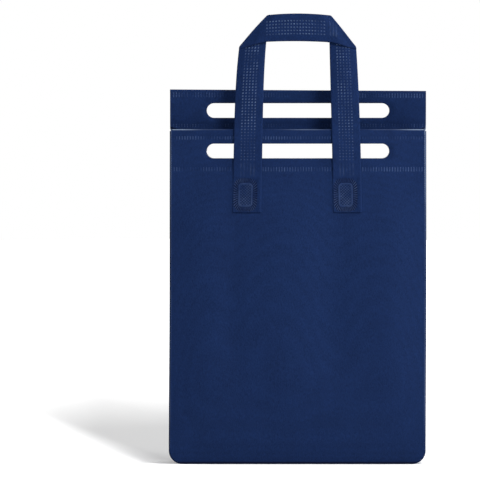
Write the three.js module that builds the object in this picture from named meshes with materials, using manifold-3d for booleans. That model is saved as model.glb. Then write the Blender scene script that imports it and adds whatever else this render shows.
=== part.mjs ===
// Insulated carrier bag of welded non-woven cloth, lined with foam and foil.
// Millimetres. X runs across the front, Y from the front to the back, Z up from the base.

import * as THREE from 'three';
import { mergeVertices } from 'three/addons/utils/BufferGeometryUtils.js';
import Module from 'manifold-3d';

// Outside of the bag
const BAG_WIDTH = 300;
const BASE_DEPTH = 84;
const FRONT_HEIGHT = 390;
const FLAP_HEIGHT = 47;
const CORNER_RADIUS = 16;
const MOUTH_BULGE = 6;

// Sheets and the air left between them
const CLOTH = 0.6;
const FOAM = 1.8;
const FOIL = 0.3;
const LAYER_GAP = 0.3;

// Welded seam between a panel and the gusset
const SEAM_BEND = 0.7;
const SEAM_MARGIN = 4.5;
const SEAM_LIP = 1;
const STACK_CLEARANCE = 0.5;

// Inward pleat of the side gussets
const PLEAT_TILT_AT_MOUTH = 66;
const CREASE_HALF_WIDTH = 1.8;

// Folded hems and hand slots
const HEM_DEPTH = 48;
const HEM_GAP = 0.5;
const SLOT_LENGTH = 215;
const SLOT_HEIGHT = 17.5;
const SLOT_DROP = 24;
const SLOT_SEGMENTS = 8;

// Handles
const STRAP_WIDTH = 33;
const STRAP = 1.4;
const STRAP_END_HEIGHT = 294;
const HANDLE_TOP = 526;
const LEG_CENTRE_AT_END = 59.5;
const LEG_CENTRE_AT_TOP = 52;
const BAR_ARCH = 2;

// Divisions of the curved sheets
const CORNER_ROWS = 5;
const SIDE_ROWS = 8;
const BASE_COLUMNS = 3;
const PANEL_COLUMNS = 12;
const BEND_ROWS = 5;
const HEM_ROWS = 3;
const WALL_COLUMNS = 2;
const LEG_ROWS = 9;
const BAR_ROWS = 4;
const STRAP_COLUMNS = 3;

const CLOTH_COLOUR = 0x1c2e56;
const STRAP_COLOUR = 0x213257;
const FOAM_COLOUR = 0xf2f2ef;
const FOIL_COLOUR = 0xc9ccd0;

// Places worked out from the sizes above
const BACK_HEIGHT = FRONT_HEIGHT + FLAP_HEIGHT;
const HALF_WIDTH = BAG_WIDTH / 2;
const FOAM_NEAR = CLOTH / 2 + LAYER_GAP;
const FOIL_NEAR = FOAM_NEAR + FOAM + LAYER_GAP;
const HEM_OFFSET = FOIL_NEAR + FOIL + HEM_GAP + CLOTH / 2;
const HEM_BEND = HEM_OFFSET / 2;
const HEM_CROWN = HEM_BEND + CLOTH / 2;
const STACK_DEPTH = HEM_OFFSET + CLOTH / 2;
const HALF_WALL = BASE_DEPTH / 2 - SEAM_BEND - 1.5 * CLOTH - LAYER_GAP - CREASE_HALF_WIDTH;

const wasm = await Module();
wasm.setup();

const { clamp, degToRad, lerp } = THREE.MathUtils;

function steps(from, to, count) {
  return Array.from({ length: count + 1 }, (_, i) => lerp(from, to, i / count));
}

// Closed geometry with shared corners and its faces turned outward
function closed(geometry) {
  geometry.deleteAttribute('normal');
  geometry.deleteAttribute('uv');
  const solid = mergeVertices(geometry, 1e-5);
  const corners = solid.attributes.position;
  const index = Array.from(solid.index.array);
  const [a, b, c] = [new THREE.Vector3(), new THREE.Vector3(), new THREE.Vector3()];
  let volume = 0;
  for (let i = 0; i < index.length; i += 3) {
    a.fromBufferAttribute(corners, index[i]);
    b.fromBufferAttribute(corners, index[i + 1]);
    c.fromBufferAttribute(corners, index[i + 2]);
    volume += a.dot(b.cross(c));
  }
  if (volume < 0) {
    index.reverse();
  }
  solid.setIndex(index);
  return solid;
}

// Splits each square of a box's far face along the same diagonal as its near face, so that sheets
// laid over each other stay parallel where they twist
function matchDiagonals(geometry) {
  const { start, count } = geometry.groups[5];
  const index = geometry.index.array;
  for (let i = start; i < start + count; i += 6) {
    const [a, b, d, , c] = index.slice(i, i + 5);
    index.set([a, b, c, a, c, d], i);
  }
}

// A sheet of even thickness, one cell thick, whose corners go where place() puts them
function sheet(columns, rows, place) {
  const geometry = new THREE.BoxGeometry(1, 1, 1, columns, rows, 1);
  matchDiagonals(geometry);
  const corners = geometry.attributes.position;
  for (let i = 0; i < corners.count; i += 1) {
    const column = Math.round((corners.getX(i) + 0.5) * columns);
    const row = Math.round((corners.getY(i) + 0.5) * rows);
    const face = Math.sign(corners.getZ(i));
    corners.setXYZ(i, ...place(column, row, face));
  }
  return closed(geometry);
}

function toManifold(geometry) {
  return new wasm.Manifold(new wasm.Mesh({
    numProp: 3,
    vertProperties: new Float32Array(geometry.attributes.position.array),
    triVerts: new Uint32Array(geometry.index.array),
  }));
}

function fromManifold(manifold) {
  const mesh = manifold.getMesh();
  const geometry = new THREE.BufferGeometry();
  geometry.setAttribute('position', new THREE.BufferAttribute(mesh.vertProperties, 3));
  geometry.setIndex(Array.from(mesh.triVerts));
  return geometry;
}

// How far the walls of the side pleat lean in at a height, from flat at the base
function pleatTilt(z) {
  const share = clamp(z / FRONT_HEIGHT, 0, 1);
  const closing = 1 - Math.cos(degToRad(PLEAT_TILT_AT_MOUTH));
  return Math.acos(1 - closing * share * share);
}

// Section across one half of the gusset, from its middle crease out to the seam margin.
// It is worked in the plane of depth (towards the panel) and inset (into the bag).
function gussetSection(z) {
  const tilt = pleatTilt(z);
  const crease = (run) => {
    const turned = (tilt * run) / CREASE_HALF_WIDTH;
    if (turned < 1e-6) {
      return [run, 0];
    }
    const radius = run / turned;
    return [radius * Math.sin(turned), -radius * (1 - Math.cos(turned))];
  };
  const [creaseDepth, creaseInset] = crease(CREASE_HALF_WIDTH);
  const wall = (run) => [creaseDepth + run * Math.cos(tilt), creaseInset - run * Math.sin(tilt)];
  const [wallDepth, wallInset] = wall(HALF_WALL);
  const bendDepth = wallDepth + SEAM_BEND * Math.sin(tilt);
  const bendInset = wallInset + SEAM_BEND * Math.cos(tilt);
  const tip = bendInset - SEAM_BEND - CLOTH / 2;
  const panelFace = bendDepth + SEAM_BEND + CLOTH / 2 + LAYER_GAP;

  // Station 0 to 1 is the crease, 1 to 2 the wall, 2 to 3 the seam bend, 3 to 4 the margin
  const place = (station, offset) => {
    let heading = -tilt;
    let depth;
    let inset;
    if (station <= 1) {
      heading = -tilt * station;
      [depth, inset] = crease(CREASE_HALF_WIDTH * station);
    } else if (station <= 2) {
      [depth, inset] = wall(HALF_WALL * (station - 1));
    } else {
      heading = lerp(-tilt, Math.PI / 2, Math.min(station - 2, 1));
      const beyond = SEAM_MARGIN * Math.max(station - 3, 0);
      depth = bendDepth + SEAM_BEND * Math.sin(heading);
      inset = bendInset - SEAM_BEND * Math.cos(heading) + beyond;
    }
    return [depth - offset * Math.sin(heading), inset + offset * Math.cos(heading) - tip];
  };

  // The lining layers stop where the wall comes too near the panel's own layers
  const limit = panelFace - STACK_DEPTH - STACK_CLEARANCE;
  const stackRun = (limit - creaseDepth - STACK_DEPTH * Math.sin(tilt)) / Math.cos(tilt);
  const clothRun = (limit - creaseDepth - (CLOTH / 2) * Math.sin(tilt)) / Math.cos(tilt);
  const clothInset = wall(clothRun)[1] + (CLOTH / 2) * Math.cos(tilt) - tip;
  const marginInset = bendInset + SEAM_MARGIN - tip;
  return {
    place,
    panelFace,
    stackStation: 1 + stackRun / HALF_WALL,
    stackInset: Math.max(clothInset, marginInset) + STACK_CLEARANCE,
  };
}

// Depth of a panel's inner face at its seams; above the front's top the flap eases upright
function seamDepth(z) {
  if (z <= FRONT_HEIGHT) {
    return gussetSection(z).panelFace;
  }
  const below = gussetSection(FRONT_HEIGHT - 1).panelFace;
  const top = gussetSection(FRONT_HEIGHT).panelFace;
  const rise = Math.min(z - FRONT_HEIGHT, FLAP_HEIGHT);
  return top - (below - top) * (rise - (rise * rise) / (2 * FLAP_HEIGHT));
}

function bulge(x, z) {
  const share = clamp(z / FRONT_HEIGHT, 0, 1);
  const across = clamp(x / HALF_WIDTH, -1, 1);
  return MOUTH_BULGE * (1 - across * across) ** 2 * share * share;
}

// Depth of the middle of a panel's outer cloth
function panelDepth(x, z) {
  return seamDepth(z) + CLOTH / 2 + bulge(x, z);
}

// Half the width of a panel whose edge lies at an inset from the outline
function halfWidth(z, inset) {
  if (z >= CORNER_RADIUS) {
    return HALF_WIDTH - inset;
  }
  const drop = CORNER_RADIUS - z;
  const radius = CORNER_RADIUS - inset;
  return HALF_WIDTH - CORNER_RADIUS + Math.sqrt(Math.max(radius * radius - drop * drop, 0));
}

// Heights of the rows that a hem covers: the flap's hem ends level with the crown of the front's
function hemHeights(top) {
  const bottom = top > FRONT_HEIGHT ? FRONT_HEIGHT - HEM_CROWN : FRONT_HEIGHT - HEM_DEPTH;
  return steps(bottom, top - HEM_CROWN, HEM_ROWS);
}

// Heights of the rows up the straight of the sides, the same for the panels and the gusset
function sideHeights() {
  const hem = hemHeights(FRONT_HEIGHT);
  return [...steps(CORNER_RADIUS, hem[0], SIDE_ROWS), ...hem.slice(1)];
}

// Heights of the rows of a panel or lining, from its bottom edge to its top
function rowHeights(inset, top) {
  const heights = [];
  for (let i = 0; i < CORNER_ROWS; i += 1) {
    const turned = (Math.PI / 2) * (i / CORNER_ROWS);
    heights.push(CORNER_RADIUS - (CORNER_RADIUS - inset) * Math.cos(turned));
  }
  heights.push(...sideHeights());
  if (top > FRONT_HEIGHT) {
    heights.push(...hemHeights(top).slice(1));
  }
  return heights;
}

// The hem: round the crown and down the inside. Each row gives its height, its offset into the
// bag and the direction that its outer face looks in, as parts of up and in.
function hemRows(top) {
  const centre = top - HEM_CROWN;
  const rows = steps(0, Math.PI, BEND_ROWS).slice(1).map((turned) => ({
    z: centre + HEM_BEND * Math.sin(turned),
    offset: HEM_BEND * (1 - Math.cos(turned)),
    up: Math.sin(turned),
    into: -Math.cos(turned),
    share: turned / Math.PI,
  }));
  for (const z of hemHeights(top).reverse().slice(1)) {
    rows.push({ z, offset: HEM_OFFSET, up: 0, into: 1, share: 1 });
  }
  return rows;
}

// A hand slot with round ends, as a prism right through the bag
function slotCutter(height) {
  const straight = SLOT_LENGTH / 2 - SLOT_HEIGHT / 2;
  const outline = new THREE.Shape();
  outline.absarc(straight, 0, SLOT_HEIGHT / 2, -Math.PI / 2, Math.PI / 2);
  outline.absarc(-straight, 0, SLOT_HEIGHT / 2, Math.PI / 2, (3 * Math.PI) / 2);
  const prism = new THREE.ExtrudeGeometry(outline, {
    depth: BASE_DEPTH,
    bevelEnabled: false,
    curveSegments: SLOT_SEGMENTS,
  });
  prism.translate(0, 0, -BASE_DEPTH / 2);
  prism.rotateX(Math.PI / 2);
  prism.translate(0, 0, height);
  return toManifold(closed(prism));
}

function cutSlots(geometry, heights) {
  return fromManifold(heights.reduce((solid, z) => solid.subtract(slotCutter(z)), toManifold(geometry)));
}

// Outer cloth of the front (side -1) or back (side 1), in one sheet with its hem
function panelCloth(side, top) {
  const rows = rowHeights(SEAM_LIP, top).map((z) => ({
    z, offset: 0, up: 0, into: -1, share: 0,
  }));
  rows.push(...hemRows(top));
  return sheet(PANEL_COLUMNS, rows.length - 1, (column, row, face) => {
    const { z, offset, up, into, share } = rows[row];
    const inset = lerp(SEAM_LIP, gussetSection(z).stackInset, share);
    const x = halfWidth(z, inset) * ((2 * column) / PANEL_COLUMNS - 1);
    const half = (face * CLOTH) / 2;
    return [x, side * (panelDepth(x, z) - offset - half * into), z + half * up];
  });
}

// A lining sheet of a panel, from near to near + thickness behind the middle of the cloth
function panelLining(side, top, near, thickness) {
  const bottom = gussetSection(0).stackInset;
  const heights = rowHeights(bottom, top);
  return sheet(PANEL_COLUMNS, heights.length - 1, (column, row, face) => {
    const z = heights[row];
    const x = halfWidth(z, gussetSection(z).stackInset) * ((2 * column) / PANEL_COLUMNS - 1);
    const offset = near + (thickness * (face + 1)) / 2;
    return [x, side * (panelDepth(x, z) - offset), z];
  });
}

// The line that both seams follow round the bag, from the middle of the base up one side
function seamLine(run) {
  const side = Math.sign(run);
  const flat = HALF_WIDTH - CORNER_RADIUS;
  const beyond = Math.abs(run) - flat;
  if (beyond <= 0) {
    return { x: run, z: 0, inX: 0, inZ: 1 };
  }
  const turned = Math.min(beyond / CORNER_RADIUS, Math.PI / 2);
  return {
    x: side * (flat + CORNER_RADIUS * Math.sin(turned)),
    z: CORNER_RADIUS * (1 - Math.cos(turned)) + Math.max(beyond - (CORNER_RADIUS * Math.PI) / 2, 0),
    inX: -side * Math.sin(turned),
    inZ: Math.cos(turned),
  };
}

function gussetPoint(run, station, offset) {
  const seam = seamLine(run);
  const [depth, inset] = gussetSection(seam.z).place(Math.abs(station), offset);
  return [seam.x + seam.inX * inset, Math.sign(station) * depth, seam.z + seam.inZ * inset];
}

// Run along the seam line at a height up the straight of the side
function runAt(z) {
  return HALF_WIDTH - CORNER_RADIUS + (CORNER_RADIUS * Math.PI) / 2 + z - CORNER_RADIUS;
}

function gussetRuns() {
  const flat = HALF_WIDTH - CORNER_RADIUS;
  const half = [
    ...steps(0, flat, BASE_COLUMNS),
    ...steps(flat, runAt(CORNER_RADIUS), CORNER_ROWS).slice(1),
    ...sideHeights().slice(1).map(runAt),
  ];
  return [...half.slice(1).reverse().map((run) => -run), ...half];
}

function mirrored(half) {
  return [...half.slice(1).reverse().map((station) => -station), ...half];
}

// Stations across half of the lining: the crease, then the wall up to where the layers stop
function liningHalf(z) {
  return [0, 0.5, 1, ...steps(1, gussetSection(z).stackStation, WALL_COLUMNS).slice(1)];
}

// Stations across half of the cloth: the lining's, then the rest of the wall, bend and margin
function clothHalf(z) {
  return [...liningHalf(z), ...steps(2, 3, BEND_ROWS), 4];
}

// The hem at one end of the gusset, laid over the lining layers. Its first row starts a little way
// down inside the outer ply and a hair thinner than it, so that the two plies join into one sheet.
function gussetHem(side) {
  const centre = FRONT_HEIGHT - HEM_CROWN;
  const rows = [
    { z: centre - HEM_BEND, offset: 0, up: 0, into: -1, thin: 0.5 },
    { z: centre, offset: 0, up: 0, into: -1, thin: 0.97 },
    ...hemRows(FRONT_HEIGHT).map((row) => ({ ...row, thin: 1 })),
  ];
  const columns = mirrored(liningHalf(FRONT_HEIGHT)).length - 1;
  return sheet(columns, rows.length - 1, (column, row, face) => {
    const { z, offset, up, into, thin } = rows[row];
    const half = (face * thin * CLOTH) / 2;
    const station = mirrored(liningHalf(z))[column];
    return gussetPoint(side * runAt(z + half * up), station, offset + half * into);
  });
}

// One strip of cloth: side, base and side, with a turned seam margin along each edge
function gussetCloth() {
  const runs = gussetRuns();
  const stations = runs.map((run) => mirrored(clothHalf(seamLine(run).z)));
  const strip = sheet(stations[0].length - 1, runs.length - 1, (column, row, face) => (
    gussetPoint(runs[row], stations[row][column], (face * CLOTH) / 2)
  ));
  return fromManifold(
    toManifold(strip).add(toManifold(gussetHem(1))).add(toManifold(gussetHem(-1))),
  );
}

function gussetLining(near, thickness) {
  const runs = gussetRuns();
  const stations = runs.map((run) => mirrored(liningHalf(seamLine(run).z)));
  return sheet(stations[0].length - 1, runs.length - 1, (column, row, face) => {
    const offset = near + (thickness * (face + 1)) / 2;
    return gussetPoint(runs[row], stations[row][column], offset);
  });
}

// A strap loop. Each row of the strap runs from share 0, the leg's outer or the bar's lower edge,
// to share 1, the leg's inner or the bar's upper edge. The right half mirrors the left.
function handle(side) {
  const legCentre = (z) => lerp(
    LEG_CENTRE_AT_END,
    LEG_CENTRE_AT_TOP,
    (z - STRAP_END_HEIGHT) / (HANDLE_TOP - STRAP_END_HEIGHT),
  );
  const barBottom = HANDLE_TOP - BAR_ARCH - STRAP_WIDTH;
  const barTop = HANDLE_TOP - BAR_ARCH;
  const legEdge = (z, share) => -legCentre(z) + (share - 0.5) * STRAP_WIDTH;
  const foldLine = (share) => {
    const z = lerp(barBottom, barTop, share);
    return [legEdge(z, share), z];
  };
  const [lowX, lowZ] = foldLine(0);
  const [highX, highZ] = foldLine(1);
  const foldLength = Math.hypot(highX - lowX, highZ - lowZ);
  const away = [-(highZ - lowZ) / foldLength, (highX - lowX) / foldLength];
  const foldRadius = (STRAP + LAYER_GAP) / 2;

  const rows = [];
  for (const t of steps(0, 1, LEG_ROWS)) {
    rows.push({ kind: 'leg', t });
  }
  for (const turned of steps(0, Math.PI, BEND_ROWS).slice(1)) {
    rows.push({ kind: 'fold', turned });
  }
  for (const t of steps(0, 1, BAR_ROWS).slice(1)) {
    rows.push({ kind: 'bar', t });
  }
  const last = rows.length - 1;

  // Place on the strap's middle surface, then which way its back face looks
  const middle = ({ kind, t, turned }, share) => {
    const [foldX, foldZ] = foldLine(share);
    if (kind === 'leg') {
      const z = lerp(STRAP_END_HEIGHT, foldZ, t);
      return { x: legEdge(z, share), z, out: 0, lookX: 0, lookZ: 0, lookOut: -1 };
    }
    if (kind === 'fold') {
      const reach = Math.sin(turned);
      return {
        x: foldX + away[0] * foldRadius * reach,
        z: foldZ + away[1] * foldRadius * reach,
        out: foldRadius * (1 - Math.cos(turned)),
        lookX: away[0] * reach,
        lookZ: away[1] * reach,
        lookOut: -Math.cos(turned),
      };
    }
    const arch = BAR_ARCH * (1 - (1 - t) * (1 - t));
    return {
      x: foldX * (1 - t), z: foldZ + arch, out: 2 * foldRadius, lookX: 0, lookZ: 0, lookOut: 1,
    };
  };

  return sheet(STRAP_COLUMNS, 2 * last, (column, row, face) => {
    const hand = row <= last ? 1 : -1;
    const point = middle(rows[Math.min(row, 2 * last - row)], column / STRAP_COLUMNS);
    const half = (face * STRAP) / 2;
    const seat = panelDepth(point.x, point.z) + CLOTH / 2 + LAYER_GAP + STRAP / 2;
    return [
      hand * (point.x + half * point.lookX),
      side * (seat + point.out + half * point.lookOut),
      point.z + half * point.lookZ,
    ];
  });
}

function part(name, geometry, color, roughness, metalness) {
  const mesh = new THREE.Mesh(geometry, new THREE.MeshStandardMaterial({ color, roughness, metalness }));
  mesh.name = name;
  return mesh;
}

const frontSlots = [FRONT_HEIGHT - SLOT_DROP];
const backSlots = [FRONT_HEIGHT - SLOT_DROP, BACK_HEIGHT - SLOT_DROP];
const faces = [
  { name: 'front', side: -1, top: FRONT_HEIGHT, slots: frontSlots },
  { name: 'back', side: 1, top: BACK_HEIGHT, slots: backSlots },
];

const bag = new THREE.Group();
for (const { name, side, top, slots } of faces) {
  const cloth = cutSlots(panelCloth(side, top), slots);
  const foam = cutSlots(panelLining(side, top, FOAM_NEAR, FOAM), slots);
  const foil = cutSlots(panelLining(side, top, FOIL_NEAR, FOIL), slots);
  bag.add(part(`${name}_panel`, cloth, CLOTH_COLOUR, 0.9, 0));
  bag.add(part(`${name}_foam`, foam, FOAM_COLOUR, 0.8, 0));
  bag.add(part(`${name}_foil_lining`, foil, FOIL_COLOUR, 0.35, 0.9));
  bag.add(part(`${name}_handle`, handle(side), STRAP_COLOUR, 0.9, 0));
}
bag.add(part('side_and_base_gusset', gussetCloth(), CLOTH_COLOUR, 0.9, 0));
bag.add(part('gusset_foam', gussetLining(FOAM_NEAR, FOAM), FOAM_COLOUR, 0.8, 0));
bag.add(part('gusset_foil_lining', gussetLining(FOIL_NEAR, FOIL), FOIL_COLOUR, 0.35, 0.9));

export default bag;
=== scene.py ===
"""Looks of the insulated carrier bag: navy non-woven cloth, foam, foil lining and strap handles.

Sizes of the bag are in millimetres. Meshes, camera, floor and lamps are in metres.
"""

import math

import bpy
import numpy as np
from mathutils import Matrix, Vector
from mathutils.geometry import delaunay_2d_cdt


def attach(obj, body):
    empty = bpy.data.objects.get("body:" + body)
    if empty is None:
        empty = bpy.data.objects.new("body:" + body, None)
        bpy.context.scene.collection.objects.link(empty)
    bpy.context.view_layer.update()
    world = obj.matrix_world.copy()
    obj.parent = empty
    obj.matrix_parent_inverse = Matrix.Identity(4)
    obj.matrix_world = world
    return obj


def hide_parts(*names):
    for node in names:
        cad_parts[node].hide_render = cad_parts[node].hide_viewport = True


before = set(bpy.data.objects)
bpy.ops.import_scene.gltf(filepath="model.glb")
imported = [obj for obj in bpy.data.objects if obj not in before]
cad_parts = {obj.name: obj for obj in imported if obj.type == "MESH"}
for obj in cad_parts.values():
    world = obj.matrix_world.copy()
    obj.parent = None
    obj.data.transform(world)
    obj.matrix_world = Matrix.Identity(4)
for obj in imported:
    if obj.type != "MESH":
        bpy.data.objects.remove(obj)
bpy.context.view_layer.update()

MM = 0.001

# Outside of the bag
BAG_WIDTH = 300
BASE_DEPTH = 84
FRONT_HEIGHT = 391.2
FLAP_HEIGHT = 45.8
CORNER_RADIUS = 16
MOUTH_BULGE = 6
FLAP_SPREAD = 0.008
FLAP_SKEW = 0.9
BASE_LEAN = 0.9
BASE_LEAN_HEIGHT = 230
BASE_TUCK = 0.1
BASE_TUCK_HEIGHT = 30

# Slack of the panels, as the front shows it from left to right
BELLY = 4.3
BELLY_START = 110
SLACK_END = 270
SLACK_FADE = 90
FOLD_MIDDLES = (-118, -75, -22, 46, 116)
FOLD_HEIGHTS = (1.2, -0.9, 1.2, -2.5, 1.9)
FOLD_WIDTHS = (24, 15, 32, 25, 24)
FOLD_DRIFT = 8

# Sheets and the air between them
CLOTH = 0.6
FOAM = 1.8
FOIL = 0.3
LAYER_GAP = 0.3
HEM_GAP = 0.5

# Seams and side pleat
SEAM_BEND = 0.7
SEAM_MARGIN = 4.5
SEAM_LIP = 1
STACK_CLEARANCE = 0.5
PLEAT_TILT_AT_MOUTH = math.radians(66)
CREASE_HALF_WIDTH = 1.8

# Hems and slots
HEM_DEPTH = 49.2
SLOT_LENGTH = 213.8
SLOT_HEIGHT = 17.1
FRONT_SLOT_DROP = 25.5
FLAP_SLOT_DROP = 23.9
SLOT_PRESS = 0.58
SLOT_PRESS_REACH = 6
# Painted highlight on the seam edges of the flap's turned-in hem, and the height where it ends
FLAP_HEM_HIGHLIGHT = 0.22
FLAP_HEM_HIGHLIGHT_TOP = 416

# Handles
STRAP_WIDTH = 33.3
STRAP = 1.4
STRAP_END_HEIGHT = 294
HANDLE_TOP = 526.4
HANDLE_SHIFT = -0.9
LEG_CENTRE_AT_END = 58.8
LEFT_LEG_LEAN, LEFT_LEG_CURVE, LEFT_LEG_POWER = 3, 3.5, 5
RIGHT_LEG_LEAN, RIGHT_LEG_CURVE, RIGHT_LEG_POWER = 2.2, 3.2, 2
FOLD_CORNER_HEIGHT = 488
STRAP_NARROWING = 2.3
STRAP_SPRING = 1.5
STRAP_CURL = 1.6
STRAP_GAP = 0.12
BAR_WIDTH = 31.9
BAR_ARCH = 2
BAR_DROOP = 6
BAR_STANDOFF = 3

# Welds. Each row of ticks has a height and a length
FRONT_TICKS = ((381, 4.7), (344.4, 6.2))
BACK_TICKS = ((431, 6.2), (395.4, 4.7))
TICK_PITCH = 3.15
TICK_WIDTH = 1.35
TICK_MARGIN = 3
TICK_PRESS = 0.34
DASH_PITCH = 2.6
DASH_WIDTH = 1.1
DASH_LENGTH = 1.7
MARK_RIM = 0.13
MARK_SINK = 0.12
DOT_PITCH_ACROSS = 3.8
DOT_PITCH_ALONG = 3.53
DOT_COLUMNS = 5
DOT_RADIUS = 0.62
DOT_DEPTH = 0.42
DOT_DOME = 0.16
BAR_DOTS_LEFT = -38
BAR_DOTS_RIGHT = 35
PATCH_WIDTH = 27.6
PATCH_HEIGHT = 38.5
PATCH_RISE = 1.2
PATCH_SHIFT = -2.2
PATCH_RING = 4.8
PATCH_TICKS = 46
PATCH_CORNER = 9.5
PATCH_PRESS = 0.45
WAFFLE_WIDTH = 3.4
WAFFLE_HEIGHT = 3.2

# Fineness of the meshes
GRID = 2.6
OUTLINE_STEP = 2.4
SLOT_STEP = 1.4
FOAM_GRID = 5.2
FOIL_GRID = 3.2
GUSSET_STEP = 3.4
GUSSET_FOAM_STEP = 6
SHEAR_ROWS = 109
FOLD_ROWS = 10
HALF_BAR_ROWS = 72

BACK_HEIGHT = FRONT_HEIGHT + FLAP_HEIGHT
HALF_WIDTH = BAG_WIDTH / 2
HALF_FLAT = HALF_WIDTH - CORNER_RADIUS
FOAM_NEAR = CLOTH / 2 + LAYER_GAP
FOIL_NEAR = FOAM_NEAR + FOAM + LAYER_GAP
HEM_OFFSET = FOIL_NEAR + FOIL + HEM_GAP + CLOTH / 2
HEM_BEND = HEM_OFFSET / 2
HEM_CROWN = HEM_BEND + CLOTH / 2
STACK_DEPTH = HEM_OFFSET + CLOTH / 2
HALF_WALL = BASE_DEPTH / 2 - SEAM_BEND - 1.5 * CLOTH - LAYER_GAP - CREASE_HALF_WIDTH
SLOT_STRAIGHT = (SLOT_LENGTH - SLOT_HEIGHT) / 2
FRONT_SLOT = FRONT_HEIGHT - FRONT_SLOT_DROP
FLAP_SLOT = BACK_HEIGHT - FLAP_SLOT_DROP


def smooth(value):
    value = np.clip(value, 0, 1)
    return value * value * (3 - 2 * value)


def bell(distance, width):
    return np.exp(-((distance / width) ** 2))


def soft_noise(u, v, cell, seed):
    """Smooth noise from -1 to 1 over a plane, with features about a cell across."""
    lattice = np.random.default_rng(seed).uniform(-1, 1, (64, 64))
    u, v = np.asarray(u, float) / cell + 17.3, np.asarray(v, float) / cell + 9.1
    column, row = np.floor(u).astype(int), np.floor(v).astype(int)
    fu, fv = smooth(u - column), smooth(v - row)

    def at(i, j):
        return lattice[(row + j) % 64, (column + i) % 64]

    low = at(0, 0) * (1 - fu) + at(1, 0) * fu
    high = at(0, 1) * (1 - fu) + at(1, 1) * fu
    return low * (1 - fv) + high * fv


# Form of the bag, by the same formulas as the solids


def pleat_tilt(z):
    share = np.clip(np.asarray(z, float) / FRONT_HEIGHT, 0, 1)
    return np.arccos(1 - (1 - math.cos(PLEAT_TILT_AT_MOUTH)) * share * share)


def crease_point(run, tilt):
    turned = np.maximum(tilt * run / CREASE_HALF_WIDTH, 1e-9)
    return run * np.sin(turned) / turned, -run * (1 - np.cos(turned)) / turned


def section(z):
    """Measures of the gusset's section at a height: depth to the panel, inset into the bag."""
    tilt = pleat_tilt(z)
    crease_depth, crease_inset = crease_point(CREASE_HALF_WIDTH, tilt)
    bend_depth = crease_depth + HALF_WALL * np.cos(tilt) + SEAM_BEND * np.sin(tilt)
    bend_inset = crease_inset - HALF_WALL * np.sin(tilt) + SEAM_BEND * np.cos(tilt)
    tip = bend_inset - SEAM_BEND - CLOTH / 2
    panel_face = bend_depth + SEAM_BEND + CLOTH / 2 + LAYER_GAP
    limit = panel_face - STACK_DEPTH - STACK_CLEARANCE
    stack_run = (limit - crease_depth - STACK_DEPTH * np.sin(tilt)) / np.cos(tilt)
    cloth_run = (limit - crease_depth - CLOTH / 2 * np.sin(tilt)) / np.cos(tilt)
    cloth_inset = crease_inset - cloth_run * np.sin(tilt) + CLOTH / 2 * np.cos(tilt) - tip
    margin_inset = bend_inset + SEAM_MARGIN - tip
    return {
        "tilt": tilt,
        "crease": (crease_depth, crease_inset),
        "bend": (bend_depth, bend_inset),
        "tip": tip,
        "panel_face": panel_face,
        "stack_station": 1 + stack_run / HALF_WALL,
        "stack_inset": np.maximum(cloth_inset, margin_inset) + STACK_CLEARANCE,
    }


def section_point(z, station, offset):
    """Station 0 to 1 is the crease, 1 to 2 the wall, 2 to 3 the seam bend, 3 to 4 the margin."""
    s = section(z)
    tilt = s["tilt"]
    crease = crease_point(CREASE_HALF_WIDTH * np.clip(station, 0, 1), tilt)
    wall_run = HALF_WALL * np.clip(station - 1, 0, 1)
    turn = -tilt + (math.pi / 2 + tilt) * np.clip(station - 2, 0, 1)
    heading = np.where(station <= 1, -tilt * station, np.where(station <= 2, -tilt, turn))
    beyond = SEAM_MARGIN * np.clip(station - 3, 0, 1)
    straight = (crease[0] + wall_run * np.cos(tilt), crease[1] - wall_run * np.sin(tilt))
    bend_depth = s["bend"][0] + SEAM_BEND * np.sin(heading)
    bend_inset = s["bend"][1] - SEAM_BEND * np.cos(heading) + beyond
    depth = np.where(station > 2, bend_depth, straight[0])
    inset = np.where(station > 2, bend_inset, straight[1])
    return depth - offset * np.sin(heading), inset + offset * np.cos(heading) - s["tip"]


def seam_depth(z):
    z = np.asarray(z, float)
    top = float(section(FRONT_HEIGHT)["panel_face"])
    slope = float(section(FRONT_HEIGHT - 1)["panel_face"]) - top
    rise = np.clip(z - FRONT_HEIGHT, 0, FLAP_HEIGHT)
    eased = top - slope * (rise - rise * rise / (2 * FLAP_HEIGHT))
    return np.where(z <= FRONT_HEIGHT, section(z)["panel_face"], eased)


def half_width(z, inset):
    drop = np.clip(CORNER_RADIUS - z, 0, None)
    radius = CORNER_RADIUS - inset
    round_part = np.sqrt(np.maximum(radius * radius - drop * drop, 0))
    return np.where(z >= CORNER_RADIUS, HALF_WIDTH - inset, HALF_FLAT + round_part)


def slot_distance(x, z, height):
    """Distance outside a hand slot's edge."""
    return np.hypot(np.maximum(np.abs(x) - SLOT_STRAIGHT, 0), z - height) - SLOT_HEIGHT / 2


def top_of(side):
    return FRONT_HEIGHT if side < 0 else BACK_HEIGHT


def hem_bottom(side):
    return FRONT_HEIGHT - (HEM_DEPTH if side < 0 else HEM_CROWN)


def slots_of(side):
    return (FRONT_SLOT,) if side < 0 else (FRONT_SLOT, FLAP_SLOT)


def ticks_of(side):
    return FRONT_TICKS if side < 0 else BACK_TICKS


def climb(z):
    """0 at the end of a strap's leg and 1 at the outer corner of its fold."""
    return np.clip((z - STRAP_END_HEIGHT) / (FOLD_CORNER_HEIGHT - STRAP_END_HEIGHT), 0, None)


def leg_centre(z, hand):
    """Distance of a leg's middle from the handle's. Hand is 1 for the left leg, else -1."""
    up = climb(z)
    if hand > 0:
        return LEG_CENTRE_AT_END - LEFT_LEG_LEAN * up - LEFT_LEG_CURVE * up**LEFT_LEG_POWER
    return LEG_CENTRE_AT_END - RIGHT_LEG_LEAN * up - RIGHT_LEG_CURVE * up**RIGHT_LEG_POWER


# Drape of the cloth over that form


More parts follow.
